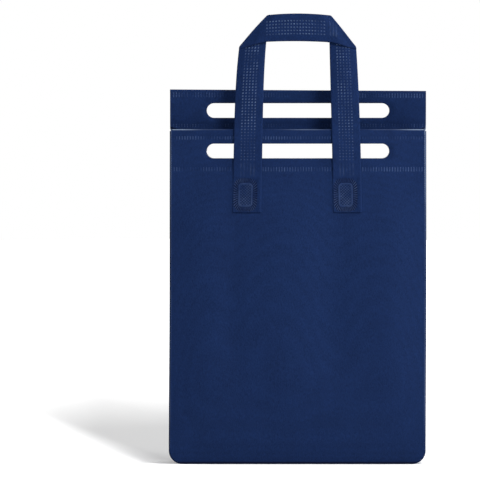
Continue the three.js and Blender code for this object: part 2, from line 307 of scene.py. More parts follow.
def sag(x, z, side):
    """How far a panel stands out from its plain form: a belly, upright folds and unevenness."""
    seed = 10 if side < 0 else 40
    out_share = np.clip(np.abs(x) / HALF_WIDTH, 0, 1)
    low = 1 - smooth((z - SLACK_END) / SLACK_FADE)
    belly = BELLY * (1 - out_share**5) * smooth(z / BELLY_START) * low
    out = 0.5 * soft_noise(x, z * 0.4, 70, seed) + 0.2 * soft_noise(x, z * 0.3, 30, seed + 1)
    out = out * smooth(z / 60)
    drift = FOLD_DRIFT * soft_noise(z, 0 * z, 110, seed + 3)
    for middle, height, width in zip(FOLD_MIDDLES, FOLD_HEIGHTS, FOLD_WIDTHS):
        fold = height * bell(-side * x - middle - drift, width)
        out = out + fold * low * smooth((z - 20) / 130)
    return out * (1 - out_share**6) + belly


def bulge(x, z):
    share = np.clip(z / FRONT_HEIGHT, 0, 1)
    across = np.clip(x / HALF_WIDTH, -1, 1)
    return MOUTH_BULGE * (1 - across * across) ** 2 * share * share


def panel_depth(x, z, side):
    """Depth of the middle of a panel's outer cloth."""
    return seam_depth(z) + CLOTH / 2 + bulge(x, z) + sag(x, z, side)


def patch_press(x, z):
    """1 inside the welded patches at the ends of the straps, fading to 0 around them."""
    middle = STRAP_END_HEIGHT + PATCH_RISE + PATCH_HEIGHT / 2
    centre = HANDLE_SHIFT + np.sign(x - HANDLE_SHIFT) * LEG_CENTRE_AT_END + PATCH_SHIFT
    across = np.abs(x - centre) - PATCH_WIDTH / 2
    along = np.abs(z - middle) - PATCH_HEIGHT / 2
    return 1 - smooth(np.maximum(across, along) / 5 + 0.5)


def pinch(x, z, side, offset):
    """Offset of a layer where the welds squeeze the layers together."""
    keep = 1 - PATCH_PRESS * patch_press(x, z)
    for height, _ in ticks_of(side):
        keep = keep * (1 - TICK_PRESS * bell(z - height, 3.0))
    for height in slots_of(side):
        near = np.clip(slot_distance(x, z, height), 0, None)
        keep = keep * (1 - SLOT_PRESS * (1 - smooth(near / SLOT_PRESS_REACH)))
    return HEM_BEND + (offset - HEM_BEND) * keep


def settle(points):
    """The base tucks in and stands a little to the left, and the free flap spreads askew."""
    points = np.array(points, float)
    tuck = np.clip(1 - points[:, 2] / BASE_TUCK_HEIGHT, 0, 1) ** 2
    points[:, 1] *= 1 - BASE_TUCK * tuck
    free = (points[:, 1] > 0) * smooth((points[:, 2] - FRONT_HEIGHT + 3) / 4)
    points[:, 0] *= 1 + FLAP_SPREAD * free * smooth((np.abs(points[:, 0]) - 90) / 60)
    points[:, 0] -= BASE_LEAN * (1 - smooth(points[:, 2] / BASE_LEAN_HEIGHT))
    above = (points[:, 1] > 0) * smooth((points[:, 2] - FLAP_SLOT - 9) / 13)
    points[:, 2] -= FLAP_SKEW * above * np.clip(points[:, 0] / HALF_WIDTH, -1, 1)
    return points


def layer_point(x, z, side, offset, out):
    """A point of a panel: on the layer at an offset into the bag, and out of it by a lift."""
    depth = panel_depth(x, z, side) - pinch(x, z, side, offset) + out
    return settle(np.stack([x, side * depth, z], 1))


# Meshes


def shell(name, near, far, faces):
    """A closed sheet between two copies of one triangulated or quad surface."""
    near, far = np.asarray(near), np.asarray(far)
    count = len(near)
    used = dict.fromkeys(edge for face in faces for edge in zip(face, [*face[1:], face[0]]))
    rim = [(a, b) for (a, b) in used if (b, a) not in used]
    polygons = [tuple(f) for f in faces]
    polygons += [tuple(i + count for i in reversed(f)) for f in faces]
    polygons += [(b, a, a + count, b + count) for a, b in rim]
    points = np.vstack([near, far]) * MM
    mesh = bpy.data.meshes.new(name)
    mesh.from_pydata(points.tolist(), [], polygons)
    mesh.validate()
    outward(mesh)
    mesh.polygons.foreach_set("use_smooth", [True] * len(mesh.polygons))
    piece = bpy.data.objects.new(name, mesh)
    bpy.context.scene.collection.objects.link(piece)
    return piece


def outward(mesh):
    """Turns the faces over if they look into the sheet."""
    mesh.calc_loop_triangles()
    index = np.empty(len(mesh.loop_triangles) * 3, int)
    mesh.loop_triangles.foreach_get("vertices", index)
    points = np.empty(len(mesh.vertices) * 3)
    mesh.vertices.foreach_get("co", points)
    a, b, c = points.reshape(-1, 3)[index.reshape(-1, 3)].transpose(1, 0, 2)
    if np.einsum("ij,ij->i", a, np.cross(b, c)).sum() < 0:
        mesh.flip_normals()


def paint(piece, name, values):
    """Stores a number for each point of the mesh, for its material."""
    attribute = piece.data.attributes.new(name, "FLOAT", "POINT")
    attribute.data.foreach_set("value", np.asarray(values, np.float32))


def grid_faces(columns, rows):
    """Quads of a grid whose points run along each row in turn."""
    corner = np.arange((columns - 1) * (rows - 1))
    start = (corner // (columns - 1)) * columns + corner % (columns - 1)
    return np.stack([start, start + 1, start + columns + 1, start + columns], 1).tolist()


def spaced(stops, step):
    """Numbers through the stops in turn, about a step apart."""
    values = [stops[0]]
    for a, b in zip(stops, stops[1:]):
        count = max(1, round(abs(b - a) / step))
        values += [a + (b - a) * (i + 1) / count for i in range(count)]
    return values


def stadium(height, grow, step, flip=None):
    """Points round a slot, grown outward. flip maps its heights into the flat cloth."""
    radius = SLOT_HEIGHT / 2 + grow
    turns = max(8, round(math.pi * radius / step))
    across = max(8, round(2 * SLOT_STRAIGHT / step / 1.6))
    points = []
    for end in (1, -1):
        for i in range(turns + 1):
            angle = end * math.pi / 2 * (2 * i / turns - 1)
            x = end * (SLOT_STRAIGHT + radius * math.cos(angle))
            points.append((x, radius * math.sin(angle)))
        for i in range(1, across):
            points.append((end * SLOT_STRAIGHT * (1 - 2 * i / across), end * radius))
    return [(x, height + z if flip is None else flip(height + z)) for x, z in points]


class Cut:
    """The flat cut of a panel's layer: x across, run up the outside and down the folded hem."""

    def __init__(self, side, hemmed, inset, bottom):
        self.side = side
        self.top = top_of(side)
        self.crown = self.top - HEM_CROWN
        self.arc = math.pi * HEM_BEND if hemmed else 0
        self.end = self.crown + (self.arc + self.crown - hem_bottom(side) if hemmed else 0)
        self.inset, self.bottom, self.hemmed = inset, bottom, hemmed

    def path(self, run):
        """Height, offset into the bag, and the way the outer face looks (up, into the bag)."""
        run = np.asarray(run, float)
        turned = np.clip((run - self.crown) / HEM_BEND, 0, math.pi)
        if not self.hemmed:
            turned = turned * 0
        down = np.clip(run - self.crown - self.arc, 0, None) if self.hemmed else 0
        rise = np.minimum(run, self.crown)
        return (
            rise + HEM_BEND * np.sin(turned) - down,
            HEM_BEND * (1 - np.cos(turned)),
            np.sin(turned),
            -np.cos(turned),
        )

    def half(self, run):
        z, offset, _, _ = self.path(run)
        if not self.hemmed:
            return half_width(z, section(z)["stack_inset"])
        share = np.clip(2 * offset / HEM_OFFSET - 1, 0, 1)
        share = share * (1 - smooth((z - FRONT_HEIGHT - 0.5) / 3))
        return half_width(z, self.inset + (section(z)["stack_inset"] - self.inset) * share)

    def holes(self, grow, step):
        found = []
        for height in slots_of(self.side):
            found.append(stadium(height, grow, step))
            if self.hemmed and height > self.top - HEM_DEPTH:
                found.append(stadium(height, grow, step, lambda z: 2 * self.crown + self.arc - z))
        return found

    def rows(self, step):
        """Distances along the cut at which its rows of points lie, closer at bends and ticks."""
        turns = np.arange(12) / 12 * math.pi / 2
        rows = list(CORNER_RADIUS - (CORNER_RADIUS - self.bottom) * np.cos(turns))
        rows += spaced([CORNER_RADIUS, self.crown], step)
        if self.hemmed:
            rows += spaced([self.crown, self.crown + self.arc], HEM_BEND * math.pi / 9)[1:]
            rows += spaced([self.crown + self.arc, self.end], step)[1:]
        for height, _ in ticks_of(self.side):
            rows += [height + d for d in (-3.6, -1.8, 0, 1.8, 3.6)]
        rows = sorted(rows)
        return np.array([rows[0]] + [b for a, b in zip(rows, rows[1:]) if b - a > 0.35])

    def triangles(self, step):
        """Points and triangles over the cut, with rings of points round its slots."""
        rows = self.rows(step)
        halves = self.half(rows)
        left = [(-h, r) for h, r in zip(halves, rows)]
        right = [(h, r) for h, r in zip(halves, rows)]
        bottom = [(x, rows[0]) for x in spaced([-halves[0], halves[0]], OUTLINE_STEP)[1:-1]]
        top = [(x, rows[-1]) for x in spaced([halves[-1], -halves[-1]], OUTLINE_STEP)[1:-1]]
        points, edges = [], []
        for loop in [bottom + right + top + left[::-1], *self.holes(0, SLOT_STEP)]:
            first = len(points)
            points += loop
            count = len(loop)
            edges += [(first + i, first + (i + 1) % count) for i in range(count)]
        for grow in (1.3, 2.9, 4.8):
            for ring in self.holes(grow, SLOT_STEP * 1.3):
                points += ring
        for inset in (0.7, 1.5):
            for h, r in zip(halves[1:-1], rows[1:-1]):
                points += [(inset - h, r), (h - inset, r)]
        columns = round(2 * HALF_WIDTH / step)
        inner = np.linspace(-1, 1, columns + 1)[1:-1]
        x = (halves[1:-1, None] - 0.6) * inner[None, :]
        run = np.repeat(rows[1:-1, None], len(inner), 1)
        keep = self.slot_gap(x, run) > 5.8
        points += list(zip(x[keep].tolist(), run[keep].tolist()))
        flat, _, faces, _, _, _ = delaunay_2d_cdt(
            [Vector(p) for p in points], edges, [], 1, 1e-5
        )
        flat = np.array([(p[0], p[1]) for p in flat])
        faces = np.array(faces)
        centre = flat[faces].mean(1)
        faces = faces[self.slot_gap(centre[:, 0], centre[:, 1]) > 0]
        return tidy(flat, faces)

    def slot_gap(self, x, run):
        z = self.path(run)[0]
        gap = np.full(np.shape(x), 1e3)
        for height in slots_of(self.side):
            gap = np.minimum(gap, slot_distance(x, z, height))
        return gap


def tidy(points, faces):
    """Drops the points that no face uses."""
    used = np.unique(faces)
    renumber = np.zeros(len(points), int)
    renumber[used] = np.arange(len(used))
    return points[used], renumber[faces].tolist()


def panel_cloth(name, side):
    cut = Cut(side, True, SEAM_LIP, SEAM_LIP)
    flat, faces = cut.triangles(GRID)
    x, run = flat[:, 0], flat[:, 1]
    z, offset, up, into = cut.path(run)
    layer = pinch(x, z, side, offset)

    def ply(half):
        depth = panel_depth(x, z, side) - layer - half * into
        return settle(np.stack([x, side * depth, z + half * up], 1))

    piece = shell(name, ply(-CLOTH / 2), ply(CLOTH / 2), faces)
    # Painted highlight on the lit crown of the hem and the lit seam edges, stored for the material
    pale = np.maximum(crown_highlight(x, z, side), seam_highlight(x, z)) * (offset < HEM_BEND)
    # A weaker painted highlight on the seam edges of the flap's turned-in hem ply, below a height
    turned_in = (offset > HEM_BEND) * smooth((FLAP_HEM_HIGHLIGHT_TOP - z) / 8) * (side > 0)
    pale = pale + FLAP_HEM_HIGHLIGHT * seam_highlight(x, z) * turned_in
    paint(piece, "pale", np.tile(pale, 2))
    # Painted shade: a dark line along the base where it meets the floor, and a dark strip at the
    # panel's outermost edge where the cloth turns into the seam
    outermost = smooth((np.abs(x) - half_width(z, SEAM_LIP + 0.55)) / 0.5)
    painted_shade = np.maximum(1.6 * smooth((3.6 - z) / 1.6), outermost) * (offset < HEM_BEND)
    paint(piece, "painted_shade", np.tile(painted_shade, 2))
    area = triangle_area(flat, faces) * MM * MM
    return piece, (BAG_WIDTH - 2 * SEAM_LIP) * MM, (cut.end - SEAM_LIP) * MM, area


def crown_highlight(x, z, side):
    """Painted highlight on the crown of the hem's fold, where light from above catches it: most
    towards its ends, some in the middle.
    """
    crest = smooth((z - top_of(side) + 1.5) / 0.9)
    if side > 0:
        return 0.12 * crest * smooth(soft_noise(x, z, 30, 8))
    ends = smooth((np.abs(x) - 108) / 34) + 0.12 * smooth((np.abs(x) - 80) / 10)
    middle = 0.4 * bell(x - 10, 22)
    return 0.85 * crest * np.maximum(ends, middle) * smooth((148 - np.abs(x)) / 1.2)


def seam_highlight(x, z):
    """Painted highlight on the seams at the sides of a panel, where their edges catch the light:
    most along the hem and at the right, towards the side lamp.
    """
    rim = smooth((np.abs(x) - half_width(z, SEAM_LIP + 1.3)) / 0.5)
    level = (0.16 + 0.36 * smooth((z - 280) / 60)) * smooth((z - 25) / 40)
    return rim * level * np.where(x > 0, 1, 0.6) * (0.75 + 0.35 * soft_noise(x, z, 30, 9))


def triangle_area(flat, faces):
    a, b, c = (flat[np.array(faces)[:, i]] for i in range(3))
    ab, ac = b - a, c - a
    return float(np.abs(ab[:, 0] * ac[:, 1] - ab[:, 1] * ac[:, 0]).sum() / 2)


def crinkle(u, v, seed):
    """Fine creases of the foil film, as a height from 0 up."""
    ridges = 1 - np.abs(soft_noise(u, v, 15, seed))
    fine = 1 - np.abs(soft_noise(u + 0.4 * v, v, 6.5, seed + 1))
    return 0.34 * ridges**3 + 0.16 * fine**2


def panel_lining(name, side, near, thickness, creased):
    bottom = float(section(0)["stack_inset"])
    cut = Cut(side, False, bottom, bottom)
    flat, faces = cut.triangles(FOIL_GRID if creased else FOAM_GRID)
    x, z = flat[:, 0], flat[:, 1]
    open_part = 1 - smooth((z - hem_bottom(side) + 8) / 6)
    lift = crinkle(x, z, 70 + side) * open_part if creased else 0

    near_face = layer_point(x, z, side, near, -lift)
    piece = shell(name, near_face, layer_point(x, z, side, near + thickness, -lift), faces)
    area = triangle_area(flat, faces) * MM * MM
    return piece, 2 * float(cut.half(200)) * MM, (cut.end - bottom) * MM, area


def seam_line(run):
    """The line that both seams follow round the bag, from the middle of the base up one side."""
    side = np.sign(run)
    beyond = np.abs(run) - HALF_FLAT
    turned = np.clip(beyond / CORNER_RADIUS, 0, math.pi / 2)
    straight = np.clip(beyond - CORNER_RADIUS * math.pi / 2, 0, None)
    x = np.where(beyond <= 0, run, side * (HALF_FLAT + CORNER_RADIUS * np.sin(turned)))
    z = CORNER_RADIUS * (1 - np.cos(turned)) + straight
    return x, z, -side * np.sin(turned), np.cos(turned)


def run_at(z):
    return HALF_FLAT + CORNER_RADIUS * math.pi / 2 + z - CORNER_RADIUS


def gusset_slack(run, station, z):
    """How far the gusset moves into the bag: slack walls and the soft creases over the base."""
    across = np.abs(station)
    free = smooth(np.clip(2 - across, 0, 1) * 3)
    side = np.sign(run)
    reach = np.clip(across - 1, 0, 1) * HALF_WALL
    drift = side * 300 + np.abs(run)
    out = 0.9 * soft_noise(drift, station * 30, 60, 90)
    out = out + 0.35 * soft_noise(drift, station * 30, 22, 91)
    crease = bell(z - CORNER_RADIUS - (HALF_WALL - reach) * 1.05, 3.6)
    start = smooth(z / 12) * smooth(reach / 6)
    return (out * smooth(z / 40) + 1.3 * crease * start) * free


def gusset_point(run, station, offset):
    x, z, in_x, in_z = seam_line(run)
    depth, inset = section_point(z, np.abs(station), offset + gusset_slack(run, station, z))
    points = [x + in_x * inset, np.sign(station) * depth, z + in_z * inset]
    return settle(np.stack([p.ravel() for p in points], 1))


def gusset_runs(step):
    half = spaced([0, HALF_FLAT], step * 1.5)
    half += spaced([HALF_FLAT, run_at(CORNER_RADIUS)], 2.2)[1:]
    half += spaced([run_at(CORNER_RADIUS), run_at(FRONT_HEIGHT - HEM_CROWN)], step)[1:]
    return np.array([-r for r in half[:0:-1]] + half)


def mirrored(half):
    """Stations from one edge to the other, from those of each row's half."""
    return np.concatenate([-half[:, :0:-1], half], 1)


def wall_stations(end, count):
    """Rows of stations over the crease and the wall up to an end that differs by row."""
    crease = np.linspace(0, 1, 5)[:-1]
    wall = np.linspace(0, 1, count)
    end = np.asarray(end, float).reshape(-1, 1)
    return np.hstack([np.repeat(crease[None, :], len(end), 0), 1 + (end - 1) * wall[None, :]])


def gusset_hem(side):
    """The hem at one end of the gusset: points and faces of its own closed strip."""
    centre = FRONT_HEIGHT - HEM_CROWN
    turned = np.linspace(0, math.pi, 9)[1:]
    down = np.array(spaced([centre, FRONT_HEIGHT - HEM_DEPTH], 3.5)[1:])
    still = np.zeros_like(down)
    z = np.concatenate([[centre - 2, centre], centre + HEM_BEND * np.sin(turned), down])
    offset = np.concatenate([[0, 0], HEM_BEND * (1 - np.cos(turned)), still + HEM_OFFSET])
    up = np.concatenate([[0, 0], np.sin(turned), still])
    into = np.concatenate([[-1, -1], -np.cos(turned), still + 1])
    thin = np.concatenate([[0.5, 0.97], np.ones(len(turned) + len(down))])
    stations = mirrored(wall_stations(section(z)["stack_station"], 10))
    shape = stations.shape

    def ply(face):
        half = (face * thin * CLOTH / 2)[:, None]
        run = side * run_at(z[:, None] + half * up[:, None]) + np.zeros(shape)
        layer = offset[:, None] + half * into[:, None] + np.zeros(shape)
        return gusset_point(run, stations, layer)

    return ply(-1), ply(1), grid_faces(shape[1], shape[0])


def gusset_cloth(name):
    runs = gusset_runs(GUSSET_STEP)
    end = section(seam_line(runs)[1])["stack_station"]
    inner = wall_stations(end, 9)
    outer = end[:, None] + (2 - end[:, None]) * np.linspace(0, 1, 6)[None, 1:]
    bend = np.repeat(np.concatenate([np.linspace(2, 3, 8)[1:], [3.5, 4]])[None, :], len(runs), 0)
    stations = mirrored(np.hstack([inner, outer, bend]))
    run = runs[:, None] + np.zeros(stations.shape)
    near = [gusset_point(run, stations, -CLOTH / 2)]
    far = [gusset_point(run, stations, CLOTH / 2)]
    faces = grid_faces(stations.shape[1], stations.shape[0])
    for side in (-1, 1):
        hem_near, hem_far, hem_faces = gusset_hem(side)
        first = sum(len(p) for p in near)
        if side < 0:
            hem_faces = [f[::-1] for f in hem_faces]
        near.append(hem_near)
        far.append(hem_far)
        faces += [[i + first for i in f] for f in hem_faces]
    piece = shell(name, np.vstack(near), np.vstack(far), faces)
    width = 2 * (CREASE_HALF_WIDTH + HALF_WALL + SEAM_BEND * 2 + SEAM_MARGIN)
    length = 2 * (run_at(FRONT_HEIGHT) + HEM_DEPTH)
    return piece, width * MM, length * MM


def gusset_lining(name, near, thickness, creased):
    runs = gusset_runs(GUSSET_STEP if creased else GUSSET_FOAM_STEP)
    z = seam_line(runs)[1]
    stations = mirrored(wall_stations(section(z)["stack_station"], 14 if creased else 7))
    run = runs[:, None] + np.zeros(stations.shape)
    open_part = 1 - smooth((seam_line(run)[1] - FRONT_HEIGHT + HEM_DEPTH + 8) / 6)
    lift = crinkle(run, stations * 30, 80) * open_part if creased else 0
    faces = grid_faces(stations.shape[1], stations.shape[0])
    piece = shell(
        name,
        gusset_point(run, stations, near + lift),
        gusset_point(run, stations, near + thickness + lift),
        faces,
    )
    width = 2 * (CREASE_HALF_WIDTH + HALF_WALL)
    return piece, width * MM, 2 * run_at(FRONT_HEIGHT - HEM_CROWN) * MM


# Handles

PLY_STEP = STRAP + LAYER_GAP
PATCH_TOP = STRAP_END_HEIGHT + PATCH_RISE + PATCH_HEIGHT
DOTS_START = PATCH_TOP + 22
SHEAR_START = DOTS_START + 21 * DOT_PITCH_ALONG
FOLD_TOP_X = 37


def strap_width(z):
    return STRAP_WIDTH - STRAP_NARROWING * climb(z) ** 4


def leg_edge(z, share, hand):
    return -leg_centre(z, hand) + (share - 0.5) * strap_width(z)


def bar_height(x, share):
    """Height in the bar, whose lower edge droops where it runs out over the legs."""
    out = np.abs(x)
    top = HANDLE_TOP - BAR_ARCH * (out / FOLD_TOP_X) ** 2
    bottom = HANDLE_TOP - BAR_WIDTH - BAR_ARCH / 2 * (out / FOLD_TOP_X) ** 2
    bottom = bottom - BAR_DROOP * smooth((out - FOLD_TOP_X + 4) / 38)
    return bottom + (top - bottom) * share


def fold_line(share, hand):
    """Where the leg turns over into the bar."""
    z = FOLD_CORNER_HEIGHT + (HANDLE_TOP - FOLD_CORNER_HEIGHT) * share
    for _ in range(12):
        z = bar_height(leg_edge(z, share, hand), share)
    return leg_edge(z, share, hand), z


def patch_relief(across, along):
    """Height, weld strength and painted shade of the grooves over a welded patch, from its middle.
    """
    qx = np.abs(across) - PATCH_WIDTH / 2 + PATCH_CORNER
    qz = np.abs(along) - PATCH_HEIGHT / 2 + PATCH_CORNER
    edge = np.hypot(np.maximum(qx, 0), np.maximum(qz, 0)) - PATCH_CORNER
    edge = edge + np.minimum(np.maximum(qx, qz), 0)
    ring = smooth(-edge / 0.6 + 0.5) * smooth((edge + PATCH_RING) / 0.9 + 0.5)
    angle = np.arctan2(along / (PATCH_HEIGHT - 8), across / (PATCH_WIDTH - 8))
    tooth = 0.5 + 0.5 * np.cos(angle * PATCH_TICKS)
    ridge = bell(edge + PATCH_RING + 1.5, 0.8)
    moat = bell(edge + PATCH_RING + 0.1, 0.5)
    inside = smooth((-edge - PATCH_RING - 2.4) / 0.8)
    bars = np.cos(2 * math.pi * across / WAFFLE_WIDTH) * np.cos(2 * math.pi * along / WAFFLE_HEIGHT)
    waffle = 0.5 + 0.5 * bars
    worn = 0.75 + 0.35 * soft_noise(across, along, 7, 21)
    height = ring * (0.26 - 0.8 * (1 - tooth) ** 1.3) - 0.3 * moat + 0.34 * ridge
    height = height + inside * (0.9 * waffle - 0.55)
    weld = 0.2 * ring * tooth**2 + 0.16 * ridge + 0.3 * inside * worn * waffle**2
    # Painted shade in the ring's grooves, the moat and the hollows between the waffle's bumps
    painted_shade = 1.8 * ring * (1 - tooth) ** 1.4 + 0.35 * moat + 0.8 * inside * (1 - waffle) ** 2
    return height, np.clip(weld, 0, 1), np.clip(painted_shade, 0, 1)


def dot_column(across):
    """Middle of the nearest column of weld dots."""
    reach = DOT_COLUMNS // 2
    return np.clip(np.round(across / DOT_PITCH_ACROSS), -reach, reach) * DOT_PITCH_ACROSS


def dot_relief(across, along, low, high):
    """Dimples of the rows of weld dots between two distances along the strap."""
    row = np.round(along / DOT_PITCH_ALONG) * DOT_PITCH_ALONG
    distance = np.hypot(across - dot_column(across), along - row)
    live = (row > low) & (row < high)
    dot = np.where(live, 1 - smooth(distance / (DOT_RADIUS * 1.9)), 0)
    core = np.where(live, 1 - smooth((distance - 0.3) / DOT_RADIUS), 0)
    return DOT_DOME * core - DOT_DEPTH * dot, core


def groove_relief(across, along, low, high):
    """Faint grooves where the rows of dots run into each other, above the patches."""
    column = dot_column(across)
    line = bell(across - column, 0.8)
    live = smooth((along - low) / 4) * smooth((high - along) / 4)
    broken = 0.5 + 0.5 * soft_noise(column / DOT_PITCH_ACROSS * 40, along, 5, 23)
    return -0.3 * line * live * broken, 0.25 * line * live * broken


def smear_relief(across, x):
    """Faint upright lines that run on from the bar's dots at its right end."""
    row = np.round(x / DOT_PITCH_ALONG) * DOT_PITCH_ALONG
    live = smooth((-x - BAR_DOTS_RIGHT) / 2) * smooth((50 + x) / 5)
    line = bell(x - row, 0.7) * live * smooth((9.5 - np.abs(across)) / 2)
    return -0.3 * line, 0.16 * line


def strap_columns():
    """Shares of the strap's width, seven to each pitch of the dots, and both edges."""
    count = int(STRAP_WIDTH / 2 / (DOT_PITCH_ACROSS / 7))
    inner = np.arange(-count, count + 1) * DOT_PITCH_ACROSS / 7 / STRAP_WIDTH + 0.5
    return np.concatenate([[0], inner, [1]])


def strap_rows():
    """Rows of the left half of a strap loop: which stretch each is on, and how far along it."""
    per_dot = DOT_PITCH_ALONG / 5
    count = round((DOTS_START - STRAP_END_HEIGHT) / per_dot)
    low = np.linspace(STRAP_END_HEIGHT, DOTS_START, count)
    level = np.arange(DOTS_START + per_dot, SHEAR_START + 0.1, per_dot)
    rows = [("leg", float(z)) for z in (*low, *level)]
    rows += [("shear", t) for t in np.linspace(0, 1, SHEAR_ROWS)[1:]]
    rows += [("fold", t) for t in np.linspace(0, math.pi, FOLD_ROWS)[1:]]
    rows += [("bar", t) for t in np.linspace(0, 1, HALF_BAR_ROWS)[1:]]
    return rows


def leg_row(share, z, hand):
    """A row up a leg: where it is, its relief, how welded it looks, and its painted shade."""
    across = (share - 0.5) * STRAP_WIDTH
    dots, core = dot_relief(across, z - DOTS_START, -1, 300)
    grooves, streak = groove_relief(across, z, PATCH_TOP + 1, DOTS_START - 2)
    middle = PATCH_TOP - PATCH_HEIGHT / 2
    patch, patch_weld, painted_shade = patch_relief(across - hand * PATCH_SHIFT, z - middle)
    smeared = 0.7 * bell(z - 474, 8) if hand > 0 else 0
    worn = 0.4 + 0.6 * smooth((z - 384) / 14)
    weld = core * worn * (1 - smeared) + streak + patch_weld
    row = {"x": leg_edge(z, share, hand), "z": z, "out": 0, "look": (0, -1, 0)}
    return row | {"relief": dots + grooves + patch, "weld": weld, "painted_shade": painted_shade}


def fold_row(share, turned, fold):
    """A row over the fold of a corner, part of the way round its bend."""
    x, z = fold
    line = np.array([x[-1] - x[0], z[-1] - z[0]])
    away = np.array([-line[1], line[0]]) / np.hypot(*line) * math.sin(turned)
    radius = PLY_STEP / 2
    reach = radius * (1 - smooth((np.abs(2 * share - 1) - 0.88) / 0.12))
    return {
        "x": x + away[0] * reach,
        "z": z + away[1] * reach,
        "out": radius * (1 - math.cos(turned)),
        "look": (away[0], -math.cos(turned), away[1]),
    }


def bar_row(share, t, fold, hand):
    """A row across the bar, from a fold at 0 to the bar's middle at 1."""
    x = fold[0] * (1 - t)
    across = (share - 0.5) * BAR_WIDTH
    relief, weld = dot_relief(across, x, BAR_DOTS_LEFT if hand > 0 else -BAR_DOTS_RIGHT, 0.1)
    if hand < 0:
        lines, streaks = smear_relief(across * STRAP_WIDTH / BAR_WIDTH, x)
        relief, weld = relief + lines, weld + streaks
    out = PLY_STEP + BAR_STANDOFF * smooth(t * 3.5) * (1 - 0.5 * share)
    row = {"x": x, "z": bar_height(x, share), "out": out, "look": (0, 1, 0)}
    return row | {"relief": relief, "weld": weld}


def strap_seat(x, z, share, side, hand):
    """Depth of the middle of a strap's inner ply, pressed on at its patches and free above."""
    free = smooth((z - FRONT_HEIGHT) / 40) * (1 - smooth((z - 450) / 40))
    lift = 1.2 * soft_noise(z, side * 50 + 0 * z, 70, 60 + hand) * free
    lift = lift + STRAP_CURL * (1 - (2 * share - 1) ** 2) * smooth((z - FRONT_HEIGHT) / 60)
    lift = lift + STRAP_SPRING * smooth((z - PATCH_TOP) / 25)
    press = HEM_BEND * PATCH_PRESS * patch_press(x, z)
    return panel_depth(x, z, side) + (CLOTH + STRAP) / 2 + STRAP_GAP - press + lift


def strap(name, side):
    share = strap_columns()
    from_edge = STRAP_WIDTH * (0.5 - np.abs(share - 0.5))
    edge_round = 1 - 0.62 * smooth(1 - from_edge / 0.9)
    half_rows = strap_rows()
    full = [(*row, 1) for row in half_rows] + [(*row, -1) for row in half_rows[-2::-1]]
    folds = {hand: fold_line(share, hand) for hand in (1, -1)}
    sides = {-1: [], 1: []}
    welds, shades = [], []
    for kind, t, hand in full:
        fold = folds[hand]
        if kind == "leg":
            row = leg_row(share, t + 0 * share, hand)
        elif kind == "shear":
            row = leg_row(share, SHEAR_START + (fold[1] - SHEAR_START) * t, hand)
        elif kind == "fold":
            row = fold_row(share, t, fold)
        else:
            row = bar_row(share, t, fold, hand)
        relief, weld, painted_shade = (row.get(key, 0 * share) for key in ("relief", "weld", "painted_shade"))
        x = HANDLE_SHIFT + hand * row["x"]
        look_x, look_out, look_z = row["look"]
        depth = strap_seat(x, row["z"], share, side, hand) + row["out"]
        wear = 0.62 + 0.5 * soft_noise(x, row["z"], 9, 33)
        welds.append(np.clip(weld * wear, 0, 1))
        shades.append(painted_shade)
        for face in (-1, 1):
            half = face * (STRAP / 2 + relief) * edge_round
            out = side * (depth + half * look_out)
            points = [x + hand * half * look_x, out, row["z"] + half * look_z]
            sides[face].append(np.stack(points, 1))
    near, far = (settle(np.vstack(sides[f])) for f in (-1, 1))
    piece = shell(name, near, far, grid_faces(len(share), len(full)))
    paint(piece, "weld", np.tile(np.concatenate(welds), 2))
    # Painted shade in the grooves of the welded patches at the straps' ends
    paint(piece, "painted_shade", np.tile(np.concatenate(shades), 2))
    length = 2 * (HANDLE_TOP - BAR_WIDTH / 2 - STRAP_END_HEIGHT + FOLD_TOP_X + STRAP_WIDTH / 2)
    return piece, STRAP_WIDTH * MM, float(length) * MM


# Weld marks of the hems and side seams


def weld_marks(name, side, marks):
    """Small pressed welds. Each mark is (face, x, z, width, height, strength), face -1 inside."""
    across = np.array([-1, -0.62, 0, 0.62, 1])
    along = np.array([-1, -0.72, 0, 0.72, 1])
    rim = np.array([-0.05, MARK_RIM, 0.05, MARK_RIM, -0.05])
    ends = np.array([-0.05, 0.9, 1, 0.9, -0.05])
    taper = np.array([0.5, 0.95, 1, 0.95, 0.5])
    lift = np.where(ends[:, None] < 0, -0.05, rim[None, :] * np.where(rim > 0, ends[:, None], 1))
    lift = lift.ravel()
    tops, bases, faces, shades = [], [], [], []
    cell = grid_faces(len(across), len(along))
    for face, x, z, width, height, strength in marks:
        shades += [strength] * len(lift)
        px = (x + across[None, :] * taper[:, None] * width / 2).ravel()
        pz = (z + along[:, None] * height / 2 + 0 * across[None, :]).ravel()
        layer = 0 if face > 0 else HEM_OFFSET
        first = len(tops) * len(lift)
        tops.append(layer_point(px, pz, side, layer, face * (CLOTH / 2 + lift)))
        bases.append(layer_point(px, pz, side, layer, face * (CLOTH / 2 - MARK_SINK)))
        faces += [[i + first for i in f] for f in cell]
    piece = shell(name, np.vstack(tops), np.vstack(bases), faces)
    paint(piece, "weld", shades * 2)
    return piece


def mark_strength(x, z):
    """How plainly a weld shows: some stretches of a row are strong and some almost gone."""
    plain = 0.56 + 0.6 * soft_noise(x, z, 24, 5) + 0.34 * soft_noise(x, z, 4, 6)
    behind = 0.85 * bell(x, 50) * smooth((z - FRONT_HEIGHT) / 3)
    return float(np.clip(plain * (1 - behind), 0.06, 1))


def hem_marks(side):
    """Rows of upright ticks that weld the hem, pressed right through to its inside face."""
    marks = []
    for face in (1, -1):
        for height, length in ticks_of(side):
            reach = HALF_WIDTH - SEAM_LIP - TICK_MARGIN
            if face < 0 and side < 0:
                reach = float(half_width(height, section(height)["stack_inset"])) - TICK_MARGIN
            count = int(2 * reach / TICK_PITCH)
            for i in range(count + 1):
                x = (i - count / 2) * TICK_PITCH
                strength = mark_strength(x, height)
                size = 0.8 + 0.2 * strength
                marks.append((face, x, height, TICK_WIDTH * size, length * size, strength))
    return marks


